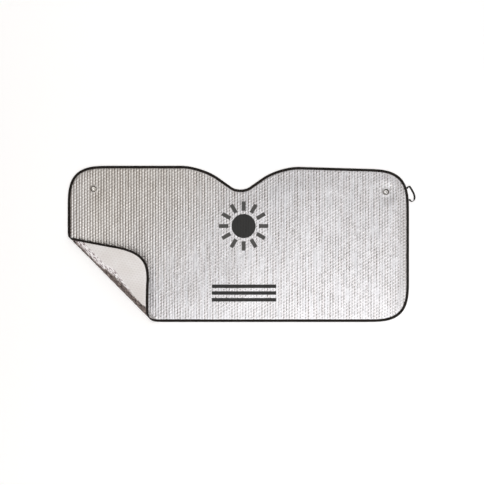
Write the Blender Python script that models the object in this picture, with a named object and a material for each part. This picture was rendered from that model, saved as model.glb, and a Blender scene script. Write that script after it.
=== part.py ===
"""Windscreen sunshade of bubble foil, lying silver side up with its lower left corner folded over.

The sheet and its edge tape are made flat, in sheet coordinates: u to the right, v up the windscreen
and h up from the back face. Then both go through the same fold, so they stay fitted to each other.
"""

import math

import bmesh
import bpy
from mathutils import Matrix, Vector

# The cut of the sheet, over its edge tape
WIDTH = 1.300
HEIGHT = 0.595
TOP_RIGHT_DROP = 0.016  # the right end of the top edge hangs a little lower than the left
CORNER_REACH = 0.166  # how far the rounding of a corner runs along each side
CORNER_EXPONENT = 3.3  # 2 is an ellipse, and more is squarer
CORNER_STEPS = 14

# The notch for the mirror, in the top edge
NOTCH_SHIFT = 0.008  # of its middle, to the right of the sheet's middle
NOTCH_HALF_WIDTH = 0.148
NOTCH_DEPTH = 0.105  # to the point where its sides would meet
NOTCH_RIGHT_DROP = 0.002  # its right shoulder, below the left one
NOTCH_ROOT_REACH = 0.043
NOTCH_SHOULDER_REACH = 0.076
NOTCH_STEPS = 8

# Edge tape, a U in section with the hem of the sheet between its legs
TAPE_WIDTH = 0.0100
TAPE_THICK = 0.0008
TAPE_CHAMFER = 0.0010
FIT_GAP = 0.0003  # between any two pieces that touch

# Bubble foil
HEM_THICK = 0.0010
HEM_BOTTOM = TAPE_THICK + FIT_GAP
HEM_TOP = HEM_BOTTOM + HEM_THICK
TAPE_TOP = HEM_TOP + FIT_GAP + TAPE_THICK
VALLEY_HEIGHT = HEM_TOP + 0.0002  # the foil between two rows of bubbles
SHOULDER_HEIGHT = 0.0037
CROWN_HEIGHT = 0.0040
ROW_PITCH = 0.0104  # from one row of bubbles to the next
SHOULDER_AT = 0.2  # of the pitch, from the valley

# Suction cups, each through a punched hole, with its head in a pocket of the back
CUP_STEPS = 24
LEFT_CUP_INSET = (0.100, 0.0885)  # from the left side and from the top
RIGHT_CUP_INSET = (0.089, 0.1005)  # from the right side and from the top
CUP_RADIUS = 0.0118
CUP_LIP = 0.0015
CUP_BOWL_DEPTH = 0.0044
CUP_STEM_RADIUS = 0.0034
CUP_COLLAR_RADIUS = 0.0055
CUP_COLLAR_THICK = 0.0015
CUP_STEM_HEIGHT = 0.0012
CUP_BELL_HEIGHT = 0.0063
CUP_NECK_RADIUS = 0.0027
CUP_HEAD_RADIUS = 0.0070
CUP_HEAD_THICK = 0.0016
PAD_RADIUS = 0.0150  # flattened foil round the hole
PAD_HEIGHT = 0.0032
POCKET_RADIUS = CUP_HEAD_RADIUS + 0.0010
POCKET_DEPTH = CUP_HEAD_THICK + 2 * FIT_GAP
HOLE_RADIUS = CUP_NECK_RADIUS + FIT_GAP

# The fold: the corner rolls up on a slim cone, then leans back over the sheet
CREASE_UP = 0.340  # where the roll starts on the left side, up from the bottom
CREASE_ALONG = 0.358  # where it starts on the bottom edge, from the left side
ROLL_RADIUS_LEFT = 0.0080
ROLL_RADIUS_BOTTOM = 0.0214
ROLL_TURN = math.radians(155.5)
ROLL_STEPS = 11
LEAN_TURN = math.radians(16)  # what the corner still bends beyond the roll
LEAN_REACH = 0.20  # radians round the tip of the cone over which it does
LEAN_STEPS = 5
CORNER_GATHER = 0.158  # of the corner's depth, taken up by its crumples
CORNER_SLIP = 0.169  # the corner is drawn this share of its depth along the crease
TABLE_STEP = 0.0004

# Elastic loop at the upper right edge, lying on the floor
LOOP_DIAMETER = 0.0030
LOOP_TOP_END = 0.0853  # its upper end, down from the top of the sheet
LOOP_SPAN = 0.0440  # between its two ends
LOOP_OUT = 0.0212  # how far its middle line comes out from the side of the sheet
LOOP_SHAPE = (  # out from the side and down from the upper end, as shares of LOOP_OUT and LOOP_SPAN
    (-0.06, -0.165),
    (0.22, -0.06),
    (0.60, 0.24),
    (0.85, 0.48),
    (1.00, 0.74),
    (0.96, 0.94),
    (0.76, 1.10),
    (0.42, 1.14),
    (0.15, 1.03),
)
LOOP_STEPS = 20
LOOP_GAP = 0.0006  # between its two cut ends and the edge of the tape


def clear_scene():
    for obj in list(bpy.data.objects):
        bpy.data.objects.remove(obj)


def material(name, colour, roughness, metallic=0.0, alpha=1.0):
    made = bpy.data.materials.new(name)
    made.use_nodes = True
    shader = made.node_tree.nodes["Principled BSDF"]
    shader.inputs["Base Color"].default_value = (*colour, 1.0)
    shader.inputs["Roughness"].default_value = roughness
    shader.inputs["Metallic"].default_value = metallic
    shader.inputs["Alpha"].default_value = alpha
    return made


def object_from(bm, name, made=None):
    bmesh.ops.recalc_face_normals(bm, faces=bm.faces)
    mesh = bpy.data.meshes.new(name)
    bm.to_mesh(mesh)
    bm.free()
    obj = bpy.data.objects.new(name, mesh)
    bpy.context.scene.collection.objects.link(obj)
    if made:
        mesh.materials.append(made)
    return obj


def helper_from(bm, name):
    """A shape that only cuts or joins, so it isn't a piece of the sunshade."""
    obj = object_from(bm, name)
    obj.hide_render = True
    obj.display_type = "WIRE"
    return obj


def boolean(obj, other, operation):
    modifier = obj.modifiers.new(other.name, "BOOLEAN")
    modifier.operation = operation
    modifier.solver = "EXACT"
    modifier.object = other


def rounded(corner, before, after, reach, exponent, steps):
    """Points round a corner, tangent to both sides at reach from it."""
    back = (before - corner).normalized()
    on = (after - corner).normalized()
    points = []
    for i in range(steps + 1):
        turn = math.pi / 2 * i / steps
        along_back = 1 - math.sin(turn) ** (2 / exponent)
        along_on = 1 - max(math.cos(turn), 0.0) ** (2 / exponent)
        points.append(corner + reach * (along_back * back + along_on * on))
    return points


def sheet_outline():
    """The outer edge, anticlockwise from the lower left corner."""
    side, end = WIDTH / 2, HEIGHT / 2
    notch_left = NOTCH_SHIFT - NOTCH_HALF_WIDTH
    notch_right = NOTCH_SHIFT + NOTCH_HALF_WIDTH
    sheet_corner = (CORNER_REACH, CORNER_EXPONENT, CORNER_STEPS)
    notch_shoulder = (NOTCH_SHOULDER_REACH, 2, NOTCH_STEPS)
    notch_root = (NOTCH_ROOT_REACH, 2, NOTCH_STEPS)
    corners = [
        (Vector((-side, -end)), *sheet_corner),
        (Vector((side, -end)), *sheet_corner),
        (Vector((side, end - TOP_RIGHT_DROP)), *sheet_corner),
        (Vector((notch_right, end - NOTCH_RIGHT_DROP)), *notch_shoulder),
        (Vector((NOTCH_SHIFT, end - NOTCH_DEPTH)), *notch_root),
        (Vector((notch_left, end)), *notch_shoulder),
        (Vector((-side, end)), *sheet_corner),
    ]
    outline = []
    for i, (corner, reach, exponent, steps) in enumerate(corners):
        before = corners[i - 1][0]
        after = corners[(i + 1) % len(corners)][0]
        outline += rounded(corner, before, after, reach, exponent, steps)
    return outline


def inset(outline, distance):
    """The outline moved inwards, each point along the mitre of its two sides."""
    moved = []
    for i, point in enumerate(outline):
        before = (point - outline[i - 1]).normalized()
        after = (outline[(i + 1) % len(outline)] - point).normalized()
        inward = Vector((-before.y - after.y, before.x + after.x)).normalized()
        moved.append(point + distance / inward.dot(Vector((-after.y, after.x))) * inward)
    return moved


def prism(outline, bottom, top):
    bm = bmesh.new()
    face = bm.faces.new([bm.verts.new((p.x, p.y, bottom)) for p in outline])
    walls = bmesh.ops.extrude_face_region(bm, geom=[face])
    lifted = [v for v in walls["geom"] if isinstance(v, bmesh.types.BMVert)]
    bmesh.ops.translate(bm, verts=lifted, vec=(0, 0, top - bottom))
    return bm


def cylinders(places, radius, bottom, top):
    bm = bmesh.new()
    for place in places:
        middle = Matrix.Translation((*place, (bottom + top) / 2))
        bmesh.ops.create_cone(
            bm,
            cap_ends=True,
            segments=2 * CUP_STEPS,
            radius1=radius,
            radius2=radius,
            depth=top - bottom,
            matrix=middle,
        )
    return bm


def ridge_block():
    """A slab larger than the sheet, with one ridge for each row of bubbles."""
    rows = math.ceil(WIDTH / ROW_PITCH) + 2
    left = -rows * ROW_PITCH / 2
    section = [(left, 0.0)]
    for i in range(rows):
        start = left + i * ROW_PITCH
        section += [
            (start, VALLEY_HEIGHT),
            (start + SHOULDER_AT * ROW_PITCH, SHOULDER_HEIGHT),
            (start + 0.5 * ROW_PITCH, CROWN_HEIGHT),
            (start + (1 - SHOULDER_AT) * ROW_PITCH, SHOULDER_HEIGHT),
        ]
    section += [(-left, VALLEY_HEIGHT), (-left, 0.0)]
    bm = bmesh.new()
    end = bm.faces.new([bm.verts.new((u, -HEIGHT, h)) for u, h in section])
    walls = bmesh.ops.extrude_face_region(bm, geom=[end])
    moved = [v for v in walls["geom"] if isinstance(v, bmesh.types.BMVert)]
    bmesh.ops.translate(bm, verts=moved, vec=(0, 2 * HEIGHT, 0))
    return bm


def cup_places():
    side, end = WIDTH / 2, HEIGHT / 2
    left = (-side + LEFT_CUP_INSET[0], end - LEFT_CUP_INSET[1])
    right = (side - RIGHT_CUP_INSET[0], end - RIGHT_CUP_INSET[1])
    return left, right


def flat_sheet(outline):
    """The bubble foil before it is folded, as a bmesh."""
    below, above = -CROWN_HEIGHT, 2 * CROWN_HEIGHT
    places = cup_places()
    block = object_from(ridge_block(), "flat_foil")
    middle = inset(outline, TAPE_WIDTH + FIT_GAP)
    hem = inset(outline, TAPE_THICK + 2 * FIT_GAP)
    shapes = [
        (helper_from(prism(middle, below, above), "middle_cutter"), "INTERSECT"),
        (helper_from(cylinders(places, PAD_RADIUS, below, above), "pad_cutter"), "DIFFERENCE"),
        (helper_from(prism(hem, HEM_BOTTOM, HEM_TOP), "hem_helper"), "UNION"),
        (
            helper_from(cylinders(places, PAD_RADIUS + FIT_GAP, 0, PAD_HEIGHT), "pad_helper"),
            "UNION",
        ),
        (helper_from(cylinders(places, POCKET_RADIUS, below, POCKET_DEPTH), "pocket_cutter"), "DIFFERENCE"),
        (helper_from(cylinders(places, HOLE_RADIUS, below, above), "hole_cutter"), "DIFFERENCE"),
    ]
    for helper, operation in shapes:
        boolean(block, helper, operation)
    bm = bmesh.new()
    bm.from_object(block, bpy.context.evaluated_depsgraph_get())
    for obj in [block, *(helper for helper, _ in shapes)]:
        bpy.data.objects.remove(obj)
    return bm


def flat_tape(outline):
    """The edge tape before it is folded, as a bmesh: a U swept round the outline."""
    hollow = TAPE_THICK
    section = [
        (TAPE_WIDTH, 0.0),
        (TAPE_CHAMFER, 0.0),
        (0.0, TAPE_CHAMFER),
        (0.0, TAPE_TOP - TAPE_CHAMFER),
        (TAPE_CHAMFER, TAPE_TOP),
        (TAPE_WIDTH, TAPE_TOP),
        (TAPE_WIDTH, TAPE_TOP - TAPE_THICK),
        (hollow, TAPE_TOP - TAPE_THICK),
        (hollow, TAPE_THICK),
        (TAPE_WIDTH, TAPE_THICK),
    ]
    bm = bmesh.new()
    rings = []
    for depth, height in section:
        ring = [bm.verts.new((p.x, p.y, height)) for p in inset(outline, depth)]
        rings.append(ring)
    for i, ring in enumerate(rings):
        for j in range(len(ring)):
            bm.faces.new((ring[j - 1], ring[j], rings[i - 1][j], rings[i - 1][j - 1]))
    return bm


class Fold:
    """Rolls the lower left corner up round a slim cone whose tip lies beyond the left side.

    Straight lines through the tip stay straight. Distances along the sheet are kept, but for
    what the corner gathers and slips. table holds, for each angle past the start of the roll,
    the way such a line points, the way across it and the sheet's upward side.
    """

    def __init__(self):
        left = Vector((-WIDTH / 2, -HEIGHT / 2 + CREASE_UP, 0))
        bottom = Vector((-WIDTH / 2 + CREASE_ALONG, -HEIGHT / 2, 0))
        self.along = (bottom - left).normalized()
        self.across = Vector((self.along.y, -self.along.x, 0))
        slope = (ROLL_RADIUS_BOTTOM - ROLL_RADIUS_LEFT) / (bottom - left).length
        self.half_angle = math.asin(slope)
        self.tip = left - self.along * ROLL_RADIUS_LEFT / slope
        self.roll_end = ROLL_TURN * slope
        self.table = self.turned_lines()

    def bend(self, angle):
        """How fast the sheet bends up at this angle round the tip."""
        if angle < self.roll_end:
            return 1 / math.tan(self.half_angle)
        left = 1 - (angle - self.roll_end) / LEAN_REACH
        return 2 * LEAN_TURN / LEAN_REACH * max(0.0, left)

    def turned_lines(self):
        frame = Matrix((self.along, self.across, Vector((0, 0, 1)))).transposed()
        table = [frame.copy()]
        for i in range(int(math.pi / 2 / TABLE_STEP)):
            along, _, up = frame.transposed()
            axis = -self.bend((i + 0.5) * TABLE_STEP) * along - up
            frame = Matrix.Rotation(axis.length * TABLE_STEP, 3, axis) @ frame
            table.append(frame.copy())
        return table

    def lines(self):
        """The angles at which the flat sheet is cut across, so that it can bend there."""
        roll = [self.roll_end * i / ROLL_STEPS for i in range(ROLL_STEPS + 1)]
        lean = [self.roll_end + LEAN_REACH * i / LEAN_STEPS for i in range(1, LEAN_STEPS + 1)]
        return roll + lean

    def folded(self, point):
        flat = Vector((point.x, point.y, 0)) - self.tip
        angle = math.atan2(flat.dot(self.across), flat.dot(self.along))
        if angle <= 0:
            return point.copy()
        beyond = (1 - CORNER_GATHER) * max(0.0, angle - self.roll_end)
        step = (min(angle, self.roll_end) + beyond) / TABLE_STEP
        i = int(step)
        frame = self.table[i].lerp(self.table[i + 1], step - i)
        along, _, up = frame.transposed()
        reach = flat.length * (1 + CORNER_SLIP * beyond)
        return self.tip + reach * along.normalized() + point.z * up.normalized()

    def apply(self, bm):
        for angle in self.lines():
            way = math.cos(angle) * self.along + math.sin(angle) * self.across
            bmesh.ops.bisect_plane(
                bm,
                geom=[*bm.verts, *bm.edges, *bm.faces],
                dist=1e-7,
                plane_co=self.tip,
                plane_no=(way.y, -way.x, 0),
            )
        bmesh.ops.triangulate(bm, faces=bm.faces)
        for vert in bm.verts:
            vert.co = self.folded(vert.co)


def make_sheet(outline, fold):
    bm = flat_sheet(outline)
    fold.apply(bm)
    return object_from(bm, "bubble_foil_sheet", material("silver_foil", (0.80, 0.78, 0.76), 0.25, 1.0))


def make_tape(outline, fold):
    bm = flat_tape(outline)
    fold.apply(bm)
    return object_from(bm, "edge_binding", material("black_tape", (0.012, 0.010, 0.009), 0.75))


def cup_section():
    """Half of the cup's section as (radius, height), from the head at the back to the bowl."""
    head = FIT_GAP
    head_top = head + CUP_HEAD_THICK
    collar = PAD_HEIGHT + FIT_GAP
    collar_top = collar + CUP_COLLAR_THICK
    bell = collar_top + CUP_STEM_HEIGHT
    lip = bell + CUP_BELL_HEIGHT
    bowl = lip - CUP_BOWL_DEPTH
    inner = CUP_RADIUS - CUP_LIP
    return [
        (0, head),
        (0.92 * CUP_HEAD_RADIUS, head),
        (CUP_HEAD_RADIUS, head + 0.3 * CUP_HEAD_THICK),
        (CUP_HEAD_RADIUS, head + 0.7 * CUP_HEAD_THICK),
        (0.86 * CUP_HEAD_RADIUS, head_top),
        (CUP_NECK_RADIUS, head_top),
        (CUP_NECK_RADIUS, collar),
        (0.92 * CUP_COLLAR_RADIUS, collar),
        (CUP_COLLAR_RADIUS, collar + 0.3 * CUP_COLLAR_THICK),
        (CUP_COLLAR_RADIUS, collar + 0.7 * CUP_COLLAR_THICK),
        (0.85 * CUP_COLLAR_RADIUS, collar_top),
        (CUP_STEM_RADIUS, collar_top),
        (CUP_STEM_RADIUS, bell),
        (0.50 * CUP_RADIUS, bell + 0.08 * CUP_BELL_HEIGHT),
        (0.74 * CUP_RADIUS, bell + 0.28 * CUP_BELL_HEIGHT),
        (0.90 * CUP_RADIUS, bell + 0.58 * CUP_BELL_HEIGHT),
        (CUP_RADIUS, lip - 0.0003),
        (CUP_RADIUS, lip),
        (inner, lip),
        (0.84 * inner, lip - 0.40 * CUP_BOWL_DEPTH),
        (0.62 * inner, lip - 0.72 * CUP_BOWL_DEPTH),
        (0.33 * inner, lip - 0.94 * CUP_BOWL_DEPTH),
        (0, bowl),
    ]


def make_cup(name, place, made):
    bm = bmesh.new()
    verts = [bm.verts.new((radius, 0, height)) for radius, height in cup_section()]
    edges = [bm.edges.new(pair) for pair in zip(verts, verts[1:])]
    bmesh.ops.spin(
        bm,
        geom=[*verts, *edges],
        cent=(0, 0, 0),
        axis=(0, 0, 1),
        angle=2 * math.pi,
        steps=CUP_STEPS,
        use_merge=True,
    )
    bmesh.ops.remove_doubles(bm, verts=bm.verts, dist=1e-6)
    for face in bm.faces:
        face.smooth = True
    obj = object_from(bm, name, made)
    obj.location = (*place, 0)
    return obj


def edge_beside(outline, height):
    """How far right the outline reaches at this height."""
    reached = []
    for a, b in zip(outline, outline[1:] + outline[:1]):
        if a.y != b.y and min(a.y, b.y) <= height <= max(a.y, b.y):
            reached.append(a.x + (b.x - a.x) * (height - a.y) / (b.y - a.y))
    return max(reached)


def loop_line(outline):
    """The middle line of the elastic, from its upper end round to its lower one."""
    top = HEIGHT / 2 - LOOP_TOP_END
    low = top - LOOP_SPAN
    height = LOOP_DIAMETER / 2 + 0.0001
    knots = [Vector((edge_beside(outline, top) + LOOP_GAP, top, height))]
    for out, down in LOOP_SHAPE:
        place = (WIDTH / 2 + out * LOOP_OUT, top - down * LOOP_SPAN, height)
        knots.append(Vector(place))
    knots.append(Vector((edge_beside(outline, low) + LOOP_GAP, low, height)))
    return smooth_line(knots)


def smooth_line(knots):
    """Evenly read points of a smooth curve through the knots, square to the edge at both ends."""
    first = knots[0] - Vector((2 * (knots[1].x - knots[0].x), 0, 0))
    last = knots[-1] - Vector((2 * (knots[-2].x - knots[-1].x), 0, 0))
    padded = [first, *knots, last]
    fine = []
    for i in range(1, len(padded) - 2):
        a, b, c, d = padded[i - 1 : i + 3]
        for j in range(10):
            t = j / 10
            fine.append(
                b
                + 0.5 * t * (c - a)
                + t * t * (a - 2.5 * b + 2 * c - 0.5 * d)
                + 0.5 * t**3 * (3 * b - 3 * c + d - a)
            )
    fine.append(knots[-1])
    lengths = [0.0]
    for a, b in zip(fine, fine[1:]):
        lengths.append(lengths[-1] + (b - a).length)
    points = []
    for k in range(LOOP_STEPS + 1):
        wanted = lengths[-1] * k / LOOP_STEPS
        i = max(n for n in range(len(fine)) if lengths[n] <= wanted + 1e-9)
        if i == len(fine) - 1:
            points.append(fine[-1])
            continue
        share = (wanted - lengths[i]) / (lengths[i + 1] - lengths[i])
        points.append(fine[i].lerp(fine[i + 1], share))
    return points


def make_loop(outline):
    curve = bpy.data.curves.new("elastic_loop", "CURVE")
    curve.dimensions = "3D"
    curve.bevel_depth = LOOP_DIAMETER / 2
    curve.bevel_resolution = 2
    curve.use_fill_caps = True
    points = loop_line(outline)
    spline = curve.splines.new("POLY")
    spline.points.add(len(points) - 1)
    for knot, place in zip(spline.points, points):
        knot.co = (*place, 1)
    curve.materials.append(material("black_elastic", (0.012, 0.011, 0.010), 0.8))
    obj = bpy.data.objects.new("elastic_loop", curve)
    bpy.context.scene.collection.objects.link(obj)
    return obj


def main():
    clear_scene()
    outline = sheet_outline()
    fold = Fold()
    make_sheet(outline, fold)
    make_tape(outline, fold)
    left, right = cup_places()
    clear_vinyl = material("clear_vinyl", (0.86, 0.86, 0.84), 0.12, alpha=0.5)
    make_cup("left_suction_cup", left, clear_vinyl)
    make_cup("right_suction_cup", right, clear_vinyl)
    make_loop(outline)


main()
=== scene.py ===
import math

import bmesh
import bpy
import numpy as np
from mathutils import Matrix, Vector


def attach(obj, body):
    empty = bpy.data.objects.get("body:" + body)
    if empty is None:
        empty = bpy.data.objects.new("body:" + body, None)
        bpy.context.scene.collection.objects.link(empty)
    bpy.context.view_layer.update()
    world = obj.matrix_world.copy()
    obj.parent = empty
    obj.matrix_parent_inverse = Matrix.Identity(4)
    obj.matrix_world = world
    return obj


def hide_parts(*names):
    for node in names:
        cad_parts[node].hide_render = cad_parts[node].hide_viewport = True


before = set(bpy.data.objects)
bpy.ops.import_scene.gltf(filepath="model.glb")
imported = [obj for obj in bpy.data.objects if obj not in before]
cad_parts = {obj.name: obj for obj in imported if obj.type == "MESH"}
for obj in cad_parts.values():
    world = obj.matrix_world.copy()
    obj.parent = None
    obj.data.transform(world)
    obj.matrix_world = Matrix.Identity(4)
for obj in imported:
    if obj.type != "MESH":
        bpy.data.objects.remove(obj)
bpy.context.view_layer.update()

# %% [markdown]
# # A windscreen sunshade of bubble foil
# A sheet of silver bubble film lies on a pale floor, bound in black tape all round, with its lower
# left corner rolled over so that the pale back shows. It has a notch for the mirror, two clear
# suction cups and a loop of black elastic. The imported CAD model is already loaded above, in metres,
# and this lesson dresses it. The dressed one may not outgrow it.

# %% [markdown]
# ## The camera
# The shade was photographed from straight above, small in a square picture. A camera above the
# middle of that picture does the same. Its distance matters, because the folded corner stands
# 60 mm high: from nearer it would lean out over the rest, and an orthographic camera would not
# show it growing at all. So it is a real lens at a real height, with no shift.

# %% Camera
CAMERA_PLACE = (0.0158, 0.0053, 3.5)
VIEW_WIDTH = 1.848  # of the floor, seen across the square picture

camera_data = bpy.data.cameras.new("studio_camera")
camera_data.sensor_width = 36.0
camera_data.lens = camera_data.sensor_width * CAMERA_PLACE[2] / VIEW_WIDTH
camera_data.clip_end = 50.0
camera = bpy.data.objects.new("studio_camera", camera_data)
camera.location = CAMERA_PLACE
bpy.context.scene.collection.objects.link(camera)
bpy.context.scene.camera = camera
print("lens", round(camera_data.lens, 1), "mm")

# %% [markdown]
# ## Writing materials as arithmetic
# A material in Blender is a tree of nodes. Wiring it by hand takes a line for every link, so two
# small classes help. `Number` wraps one socket, and adding or multiplying it makes the Math node.
# `Finish` owns the tree and adds any other node in one call. Both only save typing: what comes out
# is a plain node tree that can be opened and read in the shader editor.

# %% Numbers in a node tree
class Number:
    """One socket that carries a number. Arithmetic on it adds Math nodes."""

    def __init__(self, finish, socket):
        self.finish = finish
        self.socket = socket

    def maths(self, operation, *terms):
        sockets = dict(enumerate(terms))
        return self.finish.add("Math", {"operation": operation}, sockets)

    def __add__(self, other):
        return self.maths("ADD", self, other)

    def __sub__(self, other):
        return self.maths("SUBTRACT", self, other)

    def __rsub__(self, other):
        return self.maths("SUBTRACT", other, self)

    def __mul__(self, other):
        return self.maths("MULTIPLY", self, other)

    def __truediv__(self, other):
        return self.maths("DIVIDE", self, other)

    def __pow__(self, other):
        return self.maths("POWER", self, other)

    def __abs__(self):
        return self.maths("ABSOLUTE", self)

    __radd__ = __add__
    __rmul__ = __mul__

    def below(self, limit):
        return self.maths("LESS_THAN", self, limit)

    def above(self, limit):
        return self.maths("GREATER_THAN", self, limit)

    def fraction(self):
        return self.maths("FRACT", self)

    def sine(self):
        return self.maths("SINE", self)

    def ramp(self, start, end):
        """0 up to start, 1 from end, and smooth between them."""
        limits = {"Value": self, "From Min": start, "From Max": end}
        return self.finish.add("MapRange", {"interpolation_type": "SMOOTHSTEP"}, limits)


class Finish:
    """The node tree of a material or of the world."""

    def __init__(self, owner):
        owner.use_nodes = True
        self.owner = owner
        self.tree = owner.node_tree
        self.tree.nodes.clear()

    def feed(self, socket, value):
        if isinstance(value, Number):
            self.tree.links.new(value.socket, socket)
        elif isinstance(value, bpy.types.NodeSocket):
            self.tree.links.new(value, socket)
        elif hasattr(value, "__len__") and len(value) == 3 and socket.type == "RGBA":
            socket.default_value = (*value, 1.0)
        else:
            socket.default_value = value

    def add(self, kind, settings=None, sockets=None, out=0):
        """A node of any kind. Its settings come first, because they decide which sockets it has."""
        node = self.tree.nodes.new("ShaderNode" + kind)
        for name, value in (settings or {}).items():
            setattr(node, name, value)
        for name, value in (sockets or {}).items():
            self.feed(node.inputs[name], value)
        return Number(self, node.outputs[out]) if node.outputs else None

    def place(self):
        """Where a point is in the piece's own coordinates, in metres."""
        return self.add("TexCoord", None, None, out=3)

    def flat_place(self):
        """Where a point is in the flat piece, which is kept as its UV map."""
        return self.add("UVMap", {"uv_map": "flat"})

    def split(self, vector):
        node = self.tree.nodes.new("ShaderNodeSeparateXYZ")
        self.feed(node.inputs[0], vector)
        return [Number(self, socket) for socket in node.outputs]

    def blend_colours(self, factor, first, second):
        """The first colour where factor is 0 and the second where it is 1."""
        return self.add("Mix", {"data_type": "RGBA"}, {0: factor, 6: first, 7: second}, out=2)

    def scaled(self, vector, sizes):
        return self.add("VectorMath", {"operation": "MULTIPLY"}, {0: vector, 1: sizes})

    def noise(self, vector, scale, detail=2.0, roughness=0.5):
        sockets = {"Vector": vector, "Scale": scale, "Detail": detail, "Roughness": roughness}
        return self.add("TexNoise", None, sockets)

    def bump(self, height, distance):
        return self.add("Bump", None, {"Height": height, "Distance": distance})

    def surface(self, sockets):
        shader = self.add("BsdfPrincipled", None, sockets)
        self.add("OutputMaterial", None, {"Surface": shader})
        return self.owner


def new_finish(name):
    return Finish(bpy.data.materials.new(name))


# %% [markdown]
# ## The elastic loop
# A flat black elastic comes out from under the tape high on the right side, makes a loose loop and
# goes back in. It holds the shade when it is rolled up. It lies on the floor, half on its edge, and
# turns over once near its upper end. A round tube would look like a cable, so a flat strip follows
# the line, and its width leans over as it goes.

# %% The line that the elastic follows
WIDTH = 1.300
HEIGHT = 0.595
ELASTIC_WIDTH = 0.0070
ELASTIC_THICK = 0.0011
LOOP_HEIGHT = 0.0016
LOOP_UPPER_END = (0.6416, 0.2122)  # on the tape, where it is sewn in
LOOP_SPAN = 0.0440  # down to its lower end
LOOP_OUT = 0.0212  # from the side of the sheet
LOOP_LOWER_END = (0.6495, LOOP_UPPER_END[1] - LOOP_SPAN)
LOOP_SHAPE = (  # out from the side and down from the upper end, as shares of LOOP_OUT and LOOP_SPAN
    (-0.06, -0.165), (0.22, -0.06), (0.60, 0.24), (0.85, 0.48), (1.00, 0.74), (0.96, 0.94),
    (0.76, 1.10), (0.42, 1.14), (0.15, 1.03),
)


def smooth_line(knots, count):
    """Evenly spaced points on a smooth curve through the knots, and its length."""
    knots = np.array(knots)
    first = knots[0] - (2 * (knots[1][0] - knots[0][0]), 0, 0)
    last = knots[-1] - (2 * (knots[-2][0] - knots[-1][0]), 0, 0)
    padded = np.vstack([first, knots, last])
    fine = []
    for a, b, c, d in zip(padded, padded[1:], padded[2:], padded[3:]):
        for t in np.arange(0, 1, 0.05):
            slope = 0.5 * t * (c - a)
            curve = t * t * (a - 2.5 * b + 2 * c - 0.5 * d)
            fine.append(b + slope + curve + 0.5 * t**3 * (3 * b - 3 * c + d - a))
    fine.append(knots[-1])
    fine = np.array(fine)
    steps = np.linalg.norm(np.diff(fine, axis=0), axis=1)
    reached = np.concatenate([[0], np.cumsum(steps)])
    wanted = np.linspace(0, reached[-1], count)
    points = np.stack([np.interp(wanted, reached, fine[:, k]) for k in range(3)], axis=1)
    return points, reached[-1]


loop_between = [
    (WIDTH / 2 + out * LOOP_OUT, LOOP_UPPER_END[1] - down * LOOP_SPAN, LOOP_HEIGHT)
    for out, down in LOOP_SHAPE
]
loop_knots = [(*LOOP_UPPER_END, LOOP_HEIGHT), *loop_between, (*LOOP_LOWER_END, LOOP_HEIGHT)]
loop_line, loop_length = smooth_line(loop_knots, 121)
print("elastic", round(1000 * loop_length, 1), "mm long")

# %% [markdown]
# ## One way to make long and wide pieces
# The films, the tape and the elastic are all strips that follow something: a fold, an outline, a
# line. Each can start as a flat grid, which Blender makes in one call, whose points are then moved
# to where the real one goes. `strip` makes the grid, and `write_uv` keeps how far along and across
# each point was, as a UV map, so a weave or a print follows the piece wherever it bends.

# %% Strips
def object_from(bm, name, made):
    """A smooth mesh in its material, put in the scene."""
    for face in bm.faces:
        face.smooth = True
    mesh = bpy.data.meshes.new(name)
    bm.to_mesh(mesh)
    bm.free()
    mesh.materials.append(made)
    obj = bpy.data.objects.new(name, mesh)
    bpy.context.scene.collection.objects.link(obj)
    return obj


def piece_from(bm, name, body, made, replaced=()):
    """A finished piece: the body it rides on and the CAD node it stands for."""
    obj = object_from(bm, name, made)
    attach(obj, body)
    if replaced:
        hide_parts(*replaced)
    print(name, len(obj.data.polygons), "faces")
    return obj


def points_of(bm):
    return np.array([vert.co for vert in bm.verts])


def move_points(bm, places):
    for vert, place in zip(bm.verts, places):
        vert.co = place


def strip(columns, rows):
    """A grid of columns by rows cells, its points running from 0 to 1 both ways."""
    bm = bmesh.new()
    bmesh.ops.create_grid(bm, x_segments=columns, y_segments=rows, size=0.5, calc_uvs=False)
    bmesh.ops.translate(bm, verts=bm.verts, vec=(0.5, 0.5, 0))
    return bm


def write_uv(bm, shares):
    """Gives every point its place in the flat piece as its UV."""
    layer = bm.loops.layers.uv.new("flat")
    bm.verts.index_update()
    for face in bm.faces:
        for loop in face.loops:
            loop[layer].uv = shares[loop.vert.index]


# %% [markdown]
# The elastic's strip is wrapped round into a flat tube, twelve points to a section. It turns over
# once just after its upper end, lies flat down the outer side, stands on its edge round the bottom
# and lies down again where it goes back under the tape.
# The weave of a knitted elastic is fine ribs along it, crossed by finer weft, and both come from
# the UV map.

# %% Elastic
ELASTIC_AROUND = 12
ELASTIC_ALONG = len(loop_line) - 1
ELASTIC_CLEARANCE = 0.0008  # from the floor, of the edge that it stands on
ELASTIC_RIBS = 14
ELASTIC_WEFTS = 130
ELASTIC_TINTS = ((0.004, 0.0035, 0.003), (0.014, 0.012, 0.011))
ELASTIC_LEAN = (  # share of its length, and how far its width has turned up there, in radians
    (0.00, 0.05), (0.05, 0.40), (0.11, 1.60), (0.17, 2.85), (0.30, 3.05), (0.62, 3.10),
    (0.70, 2.70), (0.78, 1.85), (0.84, 1.95), (0.90, 2.60), (1.00, 3.10),
)


def elastic_finish():
    finish = new_finish("black_elastic")
    across, along, _ = finish.split(finish.flat_place())
    ribs = (across * (2 * math.pi * ELASTIC_RIBS)).sine()
    weft = (along * (2 * math.pi * ELASTIC_WEFTS)).sine()
    weave = ribs * 0.5 + weft * 0.35
    return finish.surface(
        {
            "Base Color": finish.blend_colours((weave + 1) * 0.5, *ELASTIC_TINTS),
            "Roughness": 0.72,
            "Normal": finish.bump(weave, 0.00012),
            "Specular IOR Level": 0.25,
            "Sheen Weight": 0.05,
        }
    )


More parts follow.
